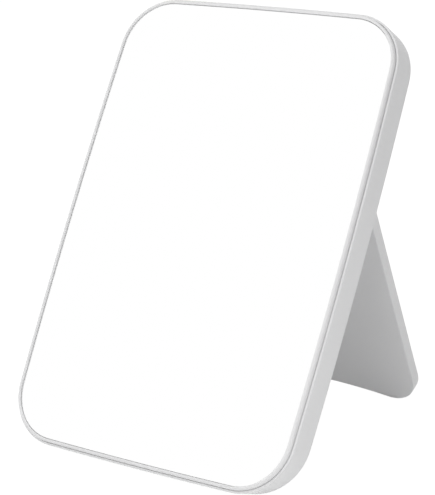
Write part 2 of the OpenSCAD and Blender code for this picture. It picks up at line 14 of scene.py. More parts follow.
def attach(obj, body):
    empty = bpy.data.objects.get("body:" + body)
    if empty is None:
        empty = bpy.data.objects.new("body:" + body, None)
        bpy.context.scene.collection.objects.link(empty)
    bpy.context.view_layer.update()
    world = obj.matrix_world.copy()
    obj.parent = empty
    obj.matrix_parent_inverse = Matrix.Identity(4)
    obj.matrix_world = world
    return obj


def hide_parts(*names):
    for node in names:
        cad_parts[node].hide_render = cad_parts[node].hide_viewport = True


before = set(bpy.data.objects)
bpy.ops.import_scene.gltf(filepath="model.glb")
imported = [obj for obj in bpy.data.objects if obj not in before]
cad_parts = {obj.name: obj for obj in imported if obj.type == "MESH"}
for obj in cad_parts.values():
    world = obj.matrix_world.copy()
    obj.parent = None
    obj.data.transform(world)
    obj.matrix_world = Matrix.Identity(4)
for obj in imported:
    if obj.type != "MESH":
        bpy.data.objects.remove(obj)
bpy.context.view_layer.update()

# Frame, bezel and glass, in millimetres
HALF_W, HALF_H, DEPTH = 70.0, 101.5, 16.1
CORNER_R, SIDE_BOW, END_BOW = 23.6, 1.9, 0.8
SHELL_WALL, BACK_SKIN, FOOT_RISE = 2.2, 1.8, 2.1
BACK_EDGE_R, FRONT_EDGE_R = 1.6, 0.5
PROUD, RIM_W, GROOVE_W, BEZEL_W = 2.2, 0.9, 0.2, 1.3
GROOVE_DEEP, TRAY_FIT = 0.6, 0.1
BEZEL_EDGE_R, BEZEL_INNER_R = 1.1, 0.15
GLASS_Y, GLASS_T, GLASS_GAP, ARRIS = 1.0, 2.0, 0.15, 0.12
TAPE_T, TRAY_FLOOR = 0.8, 1.4

# Stand, hinge and recess, in millimetres
STAND_HALF_W, STAND_LEN, STAND_T = 56.4, 139.8, 6.2
STAND_CORNER_R, STAND_EDGE_R, STAND_FRONT_R, STAND_TOP_R = 13.6, 1.2, 0.5, 2.0
FOOT_ARCH, STAND_SKIN = 3.6, 1.6
COVER_T, COVER_EDGE, COVER_DOWN, COVER_GAP, COVER_EDGE_R = 1.4, 3.0, 8.0, 0.15, 0.25
LEDGE_W = 2.0
HINGE_Y, HINGE_Z, BARREL_R = 12.8, 44.0, 3.1
HEEL_OFF, HEEL_LEN, HEEL_HALF_W = 0.4, 6.0, 25.0
PIN_R, PIN_RUN, PIN_FIT, PIN_IN_STAND, PIN_IN_SHELL, PIN_END = 1.25, 0.05, 0.02, 9.0, 6.8, 0.2
SIDE_GAP, END_GAP, FLOOR_GAP, RECESS_WALL, RECESS_TOP_R = 0.6, 0.5, 0.4, 1.6, 1.0
STOP_Y, POCKET_SKIN = 8.0033, 1.4
SCOOP_R, SCOOP_Z = 8.5, -32.5
STRIP_HALF, STRIP_W, STRIP_IN = 38.0, 4.5, 1.3
RIB_T, RIB_ROWS, STAND_RIB_X, PIN_BLOCK_UP, PIN_BLOCK_END = 1.2, 2, 16.8, 4.0, 1.0
PAD_LEN, PAD_W, PAD_IN, PAD_TURN = 9.4, 4.4, 2.2, 3.0

# Screws and magnets, in millimetres
SCREW_R, HEAD_R, HEAD_GAP, SCREW_SEAT, BOSS_R, BEZEL_BOSS_R = 1.2, 2.6, 0.3, 3.4, 3.6, 3.2
SMALL_SCREW_R, SMALL_HEAD_R, SMALL_HEAD_H, SMALL_SUNK, SMALL_BOSS_R = 0.95, 2.0, 0.8, 0.2, 2.6
SMALL_SCREW_GAP, BOSS_GAP = 0.15, 1.0
BOSS_MEET_Y, PILOT_FLOOR, THREAD_FIT = 8.5, 0.4, 0.05
SHELL_SCREW_ZS, COVER_SCREW_DOWN, COVER_SCREW_UP = (10.5, -69.5), 8.0, 48.0
MAGNET_R, MAGNET_GAP, POCKET_WALL, MAGNET_X = 9.0, 0.15, 1.5, 33.0
UPPER_POCKET_Y, UPPER_MAGNET_Z = 10.1, 75.2268
STAND_MAGNET_R, STAND_MAGNET_X, STAND_MAGNET_UP = 7.5, 36.4, 20.0

# The lean, the open stand and the frame's place on the table
LEAN, OPEN = math.radians(29.6), math.radians(56.2517)
BASE_Y, BASE_Z = 35.6097, 94.0907

# Places that follow from them
LEDGE_Y = GLASS_Y + GLASS_T + TAPE_T + TRAY_FLOOR
TRAY_Y = LEDGE_Y - TRAY_FLOOR
BACK_IN_Y = DEPTH - BACK_SKIN
RISE_Y = PROUD + FRONT_EDGE_R
BEZEL_OUT = RIM_W + GROOVE_W
BEZEL_IN = BEZEL_OUT + BEZEL_W
FOOT_Z = HINGE_Z - STAND_LEN
STAND_FRONT_Y, STAND_BACK_Y = HINGE_Y - BARREL_R, HINGE_Y + BARREL_R
CAVITY_Y, COVER_Y = STAND_FRONT_Y + STAND_SKIN, STAND_BACK_Y - COVER_T
COVER_TOP_Z = HINGE_Z - COVER_DOWN
RECESS_HALF_W = STAND_HALF_W + SIDE_GAP
RECESS_Y = STAND_FRONT_Y - FLOOR_GAP
RECESS_FLOOR_Y = RECESS_Y - STAND_SKIN
RECESS_LOW_Z, RECESS_TOP_Z = FOOT_Z - END_GAP, HINGE_Z + BARREL_R + SIDE_GAP
POCKET_TOP_Z = HINGE_Z + math.hypot(BARREL_R, HEEL_LEN) + FLOOR_GAP
PAD_X = STAND_HALF_W - STAND_CORNER_R + PAD_TURN

# A cut reaches past its surface by OVER, and a joined part into its base by WELD. Points
# within TOL of a place lie there, and rims within RIM_TOL. Joined parts end STAGGER apart,
# so that no two of their ends share a plane, and a rounding stops SLACK short of an edge.
OVER, WELD, TOL, RIM_TOL, STAGGER, SLACK, MERGE = 1.0, 0.2, 0.01, 0.2, 0.01, 0.02, 0.002

# Facets across a rounding
FRONT_STEPS, BACK_STEPS, STAND_FRONT_STEPS, STAND_BACK_STEPS = 5, 7, 4, 6

LEANED = (
    Matrix.Scale(0.001, 4)
    @ Matrix.Translation((0, BASE_Y, BASE_Z))
    @ Matrix.Rotation(-LEAN, 4, "X")
)
OPENED = (
    LEANED
    @ Matrix.Translation((0, HINGE_Y, HINGE_Z))
    @ Matrix.Rotation(OPEN, 4, "X")
    @ Matrix.Translation((0, -HINGE_Y, -HINGE_Z))
)


def bow_radius(half, bow):
    return (half * half + bow * bow) / (2 * bow)


SIDE_R, END_R = bow_radius(HALF_H, SIDE_BOW), bow_radius(HALF_W, END_BOW)


def corner_centre():
    """Centre of the upper right corner's circle, which touches the bowed side and end."""
    side_c, end_c = Vector((HALF_W - SIDE_R, 0)), Vector((0, HALF_H - END_R))
    r1, r2 = SIDE_R - CORNER_R, END_R - CORNER_R
    across = end_c - side_c
    length = across.length
    along = (length * length + r1 * r1 - r2 * r2) / (2 * length)
    off = math.sqrt(r1 * r1 - along * along)
    u = across / length
    return side_c + u * along + Vector((-u.y, u.x)) * off


CORNER_X, CORNER_Z = corner_centre()


def shell_screw_spots():
    """The three screws on the shell's right side, as x and z."""
    reach = (CORNER_R - SHELL_WALL - BOSS_R - BOSS_GAP) * math.sqrt(0.5)
    spots = [(CORNER_X + reach, CORNER_Z + reach)]
    for z in SHELL_SCREW_ZS:
        wall = HALF_W - SIDE_BOW * (z / HALF_H) ** 2 - SHELL_WALL
        spots.append(((RECESS_HALF_W + RECESS_WALL + wall) / 2, z))
    return spots


SHELL_SPOTS = shell_screw_spots()
COVER_SPOT_X = STAND_HALF_W - COVER_EDGE - LEDGE_W - SMALL_BOSS_R - BOSS_GAP
COVER_SPOTS = [
    (COVER_SPOT_X, COVER_TOP_Z - COVER_SCREW_DOWN),
    (COVER_SPOT_X, FOOT_Z + COVER_SCREW_UP),
]


# Modelling tools
def take(piece):
    """Selects this piece alone and makes it the active one."""
    bpy.ops.object.select_all(action="DESELECT")
    piece.select_set(True)
    bpy.context.view_layer.objects.active = piece


def pick(piece, kind, test):
    """Goes into edit mode with only the faces or edges that pass the test selected."""
    take(piece)
    bpy.ops.object.mode_set(mode="EDIT")
    bpy.ops.mesh.select_mode(type=kind)
    bpy.ops.mesh.select_all(action="DESELECT")
    bpy.ops.object.mode_set(mode="OBJECT")
    mesh = piece.data
    if kind == "FACE":
        for face in mesh.polygons:
            face.select = test(face.center, face.normal)
    else:
        for edge in mesh.edges:
            a, b = (mesh.vertices[i].co for i in edge.vertices)
            edge.select = test(a, b)
    bpy.ops.object.mode_set(mode="EDIT")


def done():
    bpy.ops.object.mode_set(mode="OBJECT")


def near(a, b, tol=TOL):
    return abs(a - b) < tol


def traced(name, start, moves, both_ends=False, y=0.0):
    """A closed face drawn from one point: ("turn", centre x, centre z, angle, steps) spins it
    on, ("line", x, z) draws it straight on. The other half is mirrored, and with both_ends
    the drawing is one quarter that is mirrored twice."""
    bpy.ops.object.select_all(action="DESELECT")
    bpy.ops.mesh.primitive_plane_add(size=1, location=(0, 0, 0))
    piece = bpy.context.active_object
    piece.name = piece.data.name = name
    bpy.ops.object.mode_set(mode="EDIT")
    bpy.ops.mesh.select_mode(type="VERT")
    bpy.ops.mesh.select_all(action="SELECT")
    bpy.ops.mesh.merge(type="CENTER")
    bpy.ops.transform.translate(value=(start[0], y, start[1]))
    at = start
    for move in moves:
        if move[0] == "turn":
            _, cx, cz, angle, steps = move
            bpy.ops.mesh.spin(
                steps=steps, angle=angle, center=(cx, y, cz), axis=(0, 1, 0)
            )
            turned = Matrix.Rotation(angle, 2) @ Vector((at[0] - cx, at[1] - cz))
            at = (cx + turned.x, cz + turned.y)
        else:
            _, x, z = move
            bpy.ops.mesh.extrude_region_move(
                TRANSFORM_OT_translate={"value": (x - at[0], 0, z - at[1])}
            )
            at = (x, z)
    done()
    take(piece)
    bpy.ops.object.modifier_add(type="MIRROR")
    mirror = piece.modifiers[-1]
    mirror.use_axis = (True, False, both_ends)
    mirror.merge_threshold = MERGE
    bpy.ops.object.modifier_apply(modifier=mirror.name)
    bpy.ops.object.mode_set(mode="EDIT")
    bpy.ops.mesh.select_all(action="SELECT")
    bpy.ops.mesh.remove_doubles(threshold=MERGE)
    bpy.ops.mesh.edge_face_add()
    done()
    return piece


def frame_outline(name, inset, y):
    """The frame's outline, drawn in by inset: bowed side, corner and bowed end, mirrored."""
    a1 = math.atan2(CORNER_Z, CORNER_X - (HALF_W - SIDE_R))
    a2 = math.atan2(CORNER_Z - (HALF_H - END_R), CORNER_X)
    moves = [
        ("turn", HALF_W - SIDE_R, 0, a1, 20),
        ("turn", CORNER_X, CORNER_Z, a2 - a1, 24),
        ("turn", 0, HALF_H - END_R, math.pi / 2 - a2, 10),
    ]
    return traced(name, (HALF_W - inset, 0), moves, both_ends=True, y=y)


def plate_outline(name, half_w, low, high, foot_r, top_r, arch, y):
    """A plate's outline with round foot corners and an arched lower edge."""
    reach = half_w - foot_r
    if arch:
        r = bow_radius(reach, arch)
        swing = math.asin(reach / r)
        moves = [("turn", 0, low + arch - r, -swing, 16)]
    else:
        moves = [("line", reach, low)]
    moves += [
        ("turn", reach, low + foot_r, math.pi / 2, 18),
        ("line", half_w, high - top_r),
        ("turn", half_w - top_r, high - top_r, math.pi / 2, 6),
        ("line", 0, high),
    ]
    return traced(name, (0, low + arch), moves, y=y)


def thicken(piece, depth):
    """Extrudes a drawn face to the back into a solid."""
    pick(piece, "FACE", lambda c, n: True)
    bpy.ops.mesh.extrude_region_move(TRANSFORM_OT_translate={"value": (0, depth, 0)})
    bpy.ops.mesh.select_all(action="SELECT")
    bpy.ops.mesh.normals_make_consistent(inside=False)
    done()
    return piece


def rise_at(y):
    """How far the shell's lower end has drawn up at depth y."""
    return FOOT_RISE * max(0, y - RISE_Y) / (DEPTH - RISE_Y)


def shorten(piece, y0, y1, share):
    """Shortens the lower half of what lies between depths y0 and y1."""

    def low_between(a, b):
        deep_enough = min(a.y, b.y) > y0 - TOL
        shallow_enough = max(a.y, b.y) < y1 + TOL
        return deep_enough and shallow_enough and max(a.z, b.z) < TOL

    pick(piece, "EDGE", low_between)
    bpy.ops.transform.resize(value=(1, 1, share), center_override=(0, 0, 0))
    done()


def low_share(y):
    """How much of the lower half's height is left at depth y."""
    return 1 - rise_at(y) / HALF_H


def sloped(name, wall, y0, y1, y2):
    """What lies inside the shell's wall of this thickness: straight from y0 to y1, and then
    with the lower end drawn up as far as y2."""
    piece = thicken(frame_outline(name, wall, y0), y1 - y0)
    shorten(piece, y0, y1, low_share(y1))
    pick(piece, "FACE", lambda c, n: n.y > 0.9)
    bpy.ops.mesh.extrude_region_move(TRANSFORM_OT_translate={"value": (0, y2 - y1, 0)})
    done()
    shorten(piece, y2, y2, low_share(y2) / low_share(y1))
    return piece


def step_in(piece, y, width, y_to):
    """Draws the forward face at depth y in by width, and moves what is left to depth y_to."""
    pick(piece, "FACE", lambda c, n: n.y < -0.9 and near(c.y, y))
    if width:
        bpy.ops.mesh.inset(thickness=width, depth=0)
    bpy.ops.mesh.extrude_region_move(TRANSFORM_OT_translate={"value": (0, y_to - y, 0)})
    done()


def rim_inset(p):
    """How far a point lies inside the frame's outline, seen from the front."""
    x, z = abs(p.x), abs(p.z)
    corner = Vector((x - CORNER_X, z - CORNER_Z))
    if corner.x > 0 and corner.y > 0:
        return CORNER_R - corner.length
    side = SIDE_R - math.hypot(x - (HALF_W - SIDE_R), z)
    end = END_R - math.hypot(x, z - (HALF_H - END_R))
    return min(side, end)


def round_rim(piece, y, r, steps, inset=None):
    """Rounds the edges at depth y, or of those only the ones this far inside the outline."""

    def on_rim(point):
        return near(point.y, y) and (inset is None or near(rim_inset(point), inset, RIM_TOL))

    pick(piece, "EDGE", lambda a, b: on_rim(a) and on_rim(b))
    bpy.ops.mesh.bevel(offset=r, segments=steps, profile=0.5, affect="EDGES")
    done()


def rod(name, x, z, y0, y1, r, sides=48):
    """A round bar along y."""
    bpy.ops.object.select_all(action="DESELECT")
    bpy.ops.mesh.primitive_cylinder_add(
        vertices=sides,
        radius=r,
        depth=y1 - y0,
        location=(x, (y0 + y1) / 2, z),
        rotation=(math.pi / 2, 0, 0),
    )
    return fixed(name)


def bar(name, x0, x1, y, z, r, sides=48):
    """A round bar along x."""
    bpy.ops.object.select_all(action="DESELECT")
    bpy.ops.mesh.primitive_cylinder_add(
        vertices=sides,
        radius=r,
        depth=x1 - x0,
        location=((x0 + x1) / 2, y, z),
        rotation=(0, math.pi / 2, 0),
    )
    return fixed(name)


def brick(name, low, high):
    """A box from its lowest to its highest corner."""
    bpy.ops.object.select_all(action="DESELECT")
    bpy.ops.mesh.primitive_cube_add(
        size=1, location=[(a + b) / 2 for a, b in zip(low, high)]
    )
    bpy.context.active_object.scale = [b - a for a, b in zip(low, high)]
    return fixed(name)


def fixed(name):
    """Names the new primitive and puts its place into its mesh."""
    piece = bpy.context.active_object
    piece.name = piece.data.name = name
    bpy.ops.object.transform_apply(location=True, rotation=True, scale=True)
    return piece


def fuse(piece, other, how="UNION"):
    """Adds, cuts or crosses the piece with another, which is used up."""
    take(piece)
    bpy.ops.object.modifier_add(type="BOOLEAN")
    tool = piece.modifiers[-1]
    tool.operation, tool.solver, tool.object = how, "EXACT", other
    bpy.ops.object.modifier_apply(modifier=tool.name)
    bpy.data.objects.remove(other, do_unlink=True)


def cut(piece, other):
    fuse(piece, other, "DIFFERENCE")


def set_down(piece, place, material, body, node, angle=32):
    """Moves a finished piece to its place on the table and gives it its finish."""
    piece.matrix_world = place
    take(piece)
    bpy.ops.object.transform_apply(location=True, rotation=True, scale=True)
    bpy.ops.object.shade_smooth_by_angle(angle=math.radians(angle))
    bpy.ops.object.modifier_add(type="WEIGHTED_NORMAL")
    smooth = piece.modifiers[-1]
    smooth.keep_sharp, smooth.weight = True, 80
    bpy.ops.object.modifier_apply(modifier=smooth.name)
    piece.data.materials.clear()
    piece.data.materials.append(material)
    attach(piece, body)
    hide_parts(node)


# Finishes
GRAIN_DEPTH = 0.00002


def new_finish(name):
    finish = bpy.data.materials.new(name)
    finish.use_nodes = True
    nodes = finish.node_tree.nodes
    return finish, nodes, finish.node_tree.links, nodes["Principled BSDF"]


def add_noise(nodes, links, where, scale, detail):
    noise = nodes.new("ShaderNodeTexNoise")
    noise.inputs["Scale"].default_value = scale
    noise.inputs["Detail"].default_value = detail
    links.new(where.outputs["Object"], noise.inputs["Vector"])
    return noise


def span(nodes, links, value, low, high):
    """Stretches a 0 to 1 value between low and high."""
    change = nodes.new("ShaderNodeMapRange")
    change.inputs["To Min"].default_value = low
    change.inputs["To Max"].default_value = high
    links.new(value, change.inputs["Value"])
    return change.outputs["Result"]


def moulded(name, colour, roughness, grain=0.25, grain_scale=2600, tone=0.012):
    """Moulded plastic or rubber: a fine spark-eroded grain, and faint clouds of tone."""
    finish, nodes, links, skin = new_finish(name)
    where = nodes.new("ShaderNodeTexCoord")
    clouds = add_noise(nodes, links, where, 28, 3)
    fine = add_noise(nodes, links, where, grain_scale, 2)
    tint = nodes.new("ShaderNodeMix")
    tint.data_type = "RGBA"
    tint.inputs["A"].default_value = (*[c * (1 - tone) for c in colour], 1)
    tint.inputs["B"].default_value = (*[min(1, c * (1 + tone)) for c in colour], 1)
    links.new(clouds.outputs["Fac"], tint.inputs["Factor"])
    links.new(tint.outputs["Result"], skin.inputs["Base Color"])
    links.new(
        span(nodes, links, fine.outputs["Fac"], roughness - 0.05, roughness + 0.05),
        skin.inputs["Roughness"],
    )
    bump = nodes.new("ShaderNodeBump")
    bump.inputs["Strength"].default_value = grain
    bump.inputs["Distance"].default_value = GRAIN_DEPTH
    links.new(fine.outputs["Fac"], bump.inputs["Height"])
    links.new(bump.outputs["Normal"], skin.inputs["Normal"])
    return finish


def metal(name, colour, roughness, streak=(1, 1, 1), scale=900):
    """Plated or ground metal with fine marks, which streak can stretch along one direction."""
    finish, nodes, links, skin = new_finish(name)
    where = nodes.new("ShaderNodeTexCoord")
    turn = nodes.new("ShaderNodeMapping")
    turn.inputs["Scale"].default_value = streak
    links.new(where.outputs["Object"], turn.inputs["Vector"])
    marks = nodes.new("ShaderNodeTexNoise")
    marks.inputs["Scale"].default_value = scale
    links.new(turn.outputs["Vector"], marks.inputs["Vector"])
    links.new(
        span(nodes, links, marks.outputs["Fac"], roughness - 0.06, roughness + 0.08),
        skin.inputs["Roughness"],
    )
    skin.inputs["Base Color"].default_value = (*colour, 1)
    skin.inputs["Metallic"].default_value = 1.0
    return finish


def silvered_glass():
    """Silvered float glass, with a trace of unevenness that only close views show."""
    finish, nodes, links, skin = new_finish("silvered_mirror_glass")
    where = nodes.new("ShaderNodeTexCoord")
    haze = add_noise(nodes, links, where, 14, 2)
    links.new(
        span(nodes, links, haze.outputs["Fac"], 0.0, 0.012), skin.inputs["Roughness"]
    )
    skin.inputs["Base Color"].default_value = (1, 1, 1, 1)
    skin.inputs["Metallic"].default_value = 1.0
    return finish


BEZEL_WHITE = moulded("bezel_satin_white", (0.88, 0.88, 0.885), 0.36)
SHELL_WHITE = moulded("shell_satin_white", (0.86, 0.86, 0.865), 0.42)
STAND_WHITE = moulded("stand_satin_white", (0.86, 0.86, 0.865), 0.44)
CAP_WHITE = moulded("cap_plain_white", (0.83, 0.83, 0.835), 0.5)
MIRROR = silvered_glass()
FOAM = moulded("black_foam_tape", (0.03, 0.03, 0.03), 0.85, 0.6, 1200, 0.1)
RUBBER = moulded("pale_foot_rubber", (0.82, 0.82, 0.82), 0.7, 0.5, 1500, 0.02)
NYLON = moulded("natural_nylon", (0.78, 0.76, 0.69), 0.45)
ZINC = metal("zinc_plated_screw", (0.62, 0.63, 0.65), 0.3)
NICKEL = metal("nickel_plated_magnet", (0.6, 0.58, 0.55), 0.18)
KEEPER = metal("plain_steel_keeper", (0.5, 0.5, 0.51), 0.4)
PIN_STEEL = metal("ground_pin_steel", (0.58, 0.58, 0.6), 0.24, streak=(0.08, 1, 1))

NODE_FINISH = {
    "foam_tape_strips": FOAM,
    "shell_screws": ZINC,
    "upper_magnet_left": NICKEL,
    "upper_magnet_right": NICKEL,
    "upper_keeper_left": KEEPER,
    "upper_keeper_right": KEEPER,
    "magnet_cap_left": CAP_WHITE,
    "magnet_cap_right": CAP_WHITE,
    "hinge_pin_left": PIN_STEEL,
    "hinge_pin_right": PIN_STEEL,
    "friction_washer_left": NYLON,
    "friction_washer_right": NYLON,
    "frame_foot_strip": RUBBER,
    "stand_screws": ZINC,
    "stand_magnet_left": NICKEL,
    "stand_magnet_right": NICKEL,
    "stand_keeper_left": KEEPER,
    "stand_keeper_right": KEEPER,
    "stand_foot_pads": RUBBER,
}
for node_name, finish in NODE_FINISH.items():
    node_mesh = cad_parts[node_name].data
    node_mesh.materials.clear()
    node_mesh.materials.append(finish)


# The frame's pieces
def make_bezel():
    """The tray that holds the glass: rounded front rim, flat floor, six screw bosses behind."""
    step_y = PROUD + GROOVE_DEEP
    tray = thicken(frame_outline("bezel_tray", RIM_W + TRAY_FIT, LEDGE_Y), step_y - LEDGE_Y)
    shorten(tray, LEDGE_Y, LEDGE_Y, low_share(LEDGE_Y))
    step_in(tray, step_y, BEZEL_OUT - RIM_W - TRAY_FIT, 0)
    step_in(tray, 0, BEZEL_W, TRAY_Y)
    round_rim(tray, 0, BEZEL_INNER_R, 3, inset=BEZEL_IN)
    round_rim(tray, 0, BEZEL_EDGE_R, FRONT_STEPS, inset=BEZEL_OUT)
    for x, z in SHELL_SPOTS:
        for side in (1, -1):
            fuse(tray, rod("boss", side * x, z, LEDGE_Y - WELD, BOSS_MEET_Y, BEZEL_BOSS_R))
            cut(
                tray,
                rod(
                    "pilot",
                    side * x,
                    z,
                    LEDGE_Y + PILOT_FLOOR,
                    BOSS_MEET_Y + OVER,
                    SCREW_R + THREAD_FIT,
                ),
            )
    set_down(tray, LEANED, BEZEL_WHITE, "frame", "front_bezel")


def make_glass():
    """The mirror's pane, with a ground arris around its front and back."""
    pane = thicken(frame_outline("mirror_pane", BEZEL_IN + GLASS_GAP, GLASS_Y), GLASS_T)
    round_rim(pane, GLASS_Y, ARRIS, 1)
    round_rim(pane, GLASS_Y + GLASS_T, ARRIS, 1)
    set_down(pane, LEANED, MIRROR, "frame", "mirror_glass", 20)


def recess_block(name, grow, y0, y1):
    """The stand's recess as a solid, made larger all round by grow."""
    plate = plate_outline(
        name,
        RECESS_HALF_W + grow,
        RECESS_LOW_Z - grow,
        RECESS_TOP_Z + grow,
        STAND_CORNER_R + SIDE_GAP + grow,
        RECESS_TOP_R + grow,
        0,
        y0,
    )
    return thicken(plate, y1 - y0)


def stop_block(name, grow, y0, y1):
    reach = HEEL_HALF_W + SIDE_GAP + grow
    return brick(
        name,
        (-reach, y0, HINGE_Z - BARREL_R - grow),
        (reach, y1, POCKET_TOP_Z + grow),
    )


def shell_inside():
    """Recess tub, stop pocket, bosses, magnet pockets and ribs, trimmed to the shell."""
    ends = [DEPTH - STAGGER * step for step in range(1, 8)]
    inside = recess_block("shell_inside", RECESS_WALL, RECESS_FLOOR_Y, ends[0])
    fuse(inside, stop_block("stop_tub", RECESS_WALL, STOP_Y - POCKET_SKIN, ends[1]))
    for side in (1, -1):
        for x, z in SHELL_SPOTS:
            fuse(inside, rod("boss", side * x, z, BOSS_MEET_Y, ends[2], BOSS_R))
        fuse(
            inside,
            rod(
                "magnet_tub",
                side * MAGNET_X,
                UPPER_MAGNET_Z,
                UPPER_POCKET_Y,
                ends[3],
                MAGNET_R + MAGNET_GAP + POCKET_WALL,
            ),
        )
        fuse(
            inside,
            rod(
                "scoop_tub",
                side * RECESS_HALF_W,
                SCOOP_Z,
                RECESS_FLOOR_Y + STAGGER,
                ends[4],
                SCOOP_R + RECESS_WALL,
                96,
            ),
        )
        pin_room = PIN_IN_SHELL + PIN_BLOCK_END
        x0, x1 = sorted((side * RECESS_HALF_W, side * (RECESS_HALF_W + pin_room)))
        fuse(
            inside,
            brick(
                "pin_block",
                (x0, RECESS_FLOOR_Y + 2 * STAGGER, HINGE_Z - PIN_BLOCK_UP),
                (x1, ends[5], HINGE_Z + PIN_BLOCK_UP),
            ),
        )
        x0, x1 = sorted((side * RECESS_HALF_W / 2, side * (RECESS_HALF_W / 2 + RIB_T)))
        fuse(
            inside,
            brick(
                "upright_rib",
                (x0, LEDGE_Y, RECESS_LOW_Z),
                (x1, RECESS_FLOOR_Y + RIB_T, RECESS_TOP_Z),
            ),
        )
    for row in range(1, RIB_ROWS + 1):
        z = RECESS_LOW_Z + row * (RECESS_TOP_Z - RECESS_LOW_Z) / (RIB_ROWS + 1)
        fuse(
            inside,
            brick(
                "level_rib",
                (-RECESS_HALF_W, LEDGE_Y, z - RIB_T / 2),
                (RECESS_HALF_W, RECESS_FLOOR_Y + RIB_T, z + RIB_T / 2),
            ),
        )
    fuse(
        inside,
        brick(
            "upper_rib",
            (-RIB_T / 2, LEDGE_Y, POCKET_TOP_Z),
            (RIB_T / 2, ends[6], HALF_H),
        ),
    )
    fuse(
        inside,
        sloped("trim", SHELL_WALL / 2, LEDGE_Y - OVER, LEDGE_Y, DEPTH - BACK_SKIN / 2),
        "INTERSECT",
    )
    return inside


def make_shell():
    """The deep rear moulding: rim, side wall, back, and the recess that takes the stand."""
    shell = sloped("rear_moulding", 0, PROUD, RISE_Y, DEPTH)
    step_in(shell, PROUD, RIM_W, RISE_Y)
    step_in(shell, RISE_Y, 0, LEDGE_Y)
    shorten(shell, LEDGE_Y, LEDGE_Y, low_share(LEDGE_Y))
    step_in(shell, LEDGE_Y, SHELL_WALL - RIM_W, BACK_IN_Y)
    shorten(shell, BACK_IN_Y, BACK_IN_Y, low_share(BACK_IN_Y) / low_share(LEDGE_Y))
    round_rim(shell, PROUD, FRONT_EDGE_R - SLACK, FRONT_STEPS, inset=0)
    round_rim(shell, DEPTH, BACK_EDGE_R, BACK_STEPS)
    fuse(shell, shell_inside())
    cut(shell, recess_block("recess", 0, RECESS_Y, DEPTH + OVER))
    cut(shell, stop_block("stop_pocket", 0, STOP_Y, DEPTH + OVER))
    for side in (1, -1):
        cut(
            shell,
            rod("scoop", side * RECESS_HALF_W, SCOOP_Z, RECESS_Y, DEPTH + OVER, SCOOP_R, 96),
        )
        for x, z in SHELL_SPOTS:
            spot, shank_r, seat_r = (side * x, z), SCREW_R + HEAD_GAP, HEAD_R + HEAD_GAP
            cut(shell, rod("shank", *spot, BOSS_MEET_Y - OVER, DEPTH, shank_r))
            cut(shell, rod("seat", *spot, DEPTH - SCREW_SEAT, DEPTH + OVER, seat_r))
        cut(
            shell,
            rod(
                "magnet_pocket",
                side * MAGNET_X,
                UPPER_MAGNET_Z,
                UPPER_POCKET_Y - OVER,
                BACK_IN_Y,
                MAGNET_R + MAGNET_GAP,
            ),
        )
        x0, x1 = sorted((side * (RECESS_HALF_W - OVER), side * (RECESS_HALF_W + PIN_IN_SHELL)))
        cut(shell, bar("pin_bore", x0, x1, HINGE_Y, HINGE_Z, PIN_R + PIN_FIT))
    y0, y1 = DEPTH - STRIP_W, DEPTH + OVER
    low_z = rise_at(y0) - HALF_H
    rebate = brick(
        "strip_rebate", (-STRIP_HALF, y0, low_z - OVER), (STRIP_HALF, y1, low_z + STRIP_IN)
    )
    pick(rebate, "FACE", lambda c, n: near(c.y, y1))
    bpy.ops.transform.translate(value=(0, 0, rise_at(y1) - rise_at(y0)))
    done()
    cut(shell, rebate)
    set_down(shell, LEANED, SHELL_WHITE, "frame", "rear_shell")


# The stand's pieces
def inner_plate(name, inset, y0, y1):
    """The stand's outline drawn in by inset, up to the cover's top edge."""
    plate = plate_outline(
        name,
        STAND_HALF_W - inset,
        FOOT_Z + inset,
        COVER_TOP_Z - inset + COVER_EDGE,
        STAND_CORNER_R - inset,
        STAND_TOP_R,
        FOOT_ARCH,
        y0,
    )
    return thicken(plate, y1 - y0)


